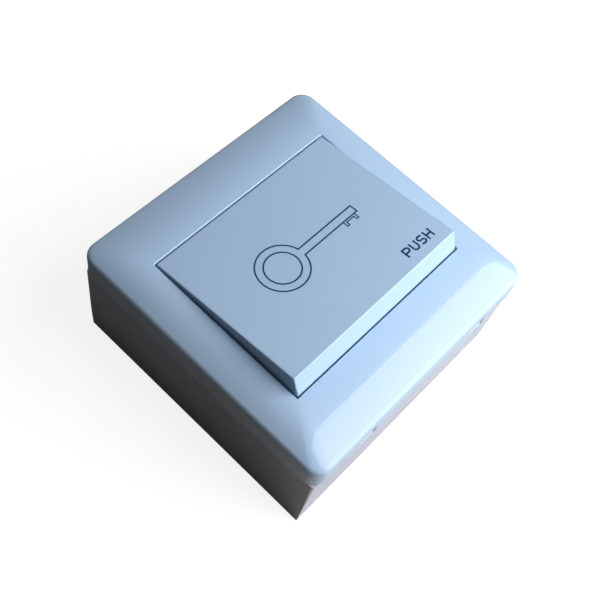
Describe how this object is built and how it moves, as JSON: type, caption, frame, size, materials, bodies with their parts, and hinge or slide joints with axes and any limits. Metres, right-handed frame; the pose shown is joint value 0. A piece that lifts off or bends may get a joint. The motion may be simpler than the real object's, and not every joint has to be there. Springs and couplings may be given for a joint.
{
  "type": "door exit button",
  "caption": "Surface-mounted square door exit button: a wide sprung rocker in a clip-fitted cover frame, on a back box with a momentary switch inside.",
  "frame": {"origin": "centre of the rear face of the back box", "axes": "+X to the right of the face, +Y up the wall towards the rocker's hinge, +Z out of the wall"},
  "size_m": [0.086, 0.086, 0.0494],
  "materials": {
    "cover_plastic": "satin",
    "rocker_plastic": "satin",
    "box_plastic": "fine moulded satin",
    "carrier_plastic": "moulded",
    "plunger_plastic": "moulded",
    "switch_plastic": "moulded",
    "brass": "stamped",
    "contact_silver": "satin",
    "spring_steel": "drawn wire",
    "zinc_steel": "zinc plated"
  },
  "bodies": {
    "housing": {"back_box": "box_plastic", "box_insert_left": "brass", "box_insert_right": "brass", "carrier_frame": "carrier_plastic", "carrier_screw_left": "zinc_steel", "carrier_screw_right": "zinc_steel", "fascia": "cover_plastic", "return_spring_left": "spring_steel", "return_spring_right": "spring_steel", "switch_base": "switch_plastic", "switch_cover": "carrier_plastic", "base_screw_top": "zinc_steel", "base_screw_bottom": "zinc_steel", "plunger_spring": "spring_steel", "contact_strip_left": "brass", "contact_strip_right": "brass", "fixed_stud_left": "contact_silver", "fixed_stud_right": "contact_silver", "terminal_clamp_left": "brass", "terminal_clamp_right": "brass", "terminal_screw_left": "zinc_steel", "terminal_screw_right": "zinc_steel"},
    "rocker": {"rocker": "rocker_plastic"},
    "switch_plunger": {"plunger": "plunger_plastic", "contact_bridge": "brass", "bridge_stud_left": "contact_silver", "bridge_stud_right": "contact_silver"}
  },
  "joints": [
    {"name": "rocker_hinge", "type": "hinge", "parent": "housing", "child": "rocker", "pos_m": [0, 0.022, 0.038], "axis": [1, 0, 0], "range_deg": [0, 5], "stiffness_Nm_per_rad": 0.87, "springref_deg": -5.73, "deforming": ["return_spring_left", "return_spring_right"]},
    {"name": "plunger_slide", "type": "slide", "parent": "housing", "child": "switch_plunger", "axis": [0, 0, -1], "range_m": [0, 0.0019], "deforming": ["plunger_spring"]}
  ],
  "couplings": [
    {"joint": "rocker_hinge", "follows": "plunger_slide", "rad_per_m": 45.45}
  ]
}
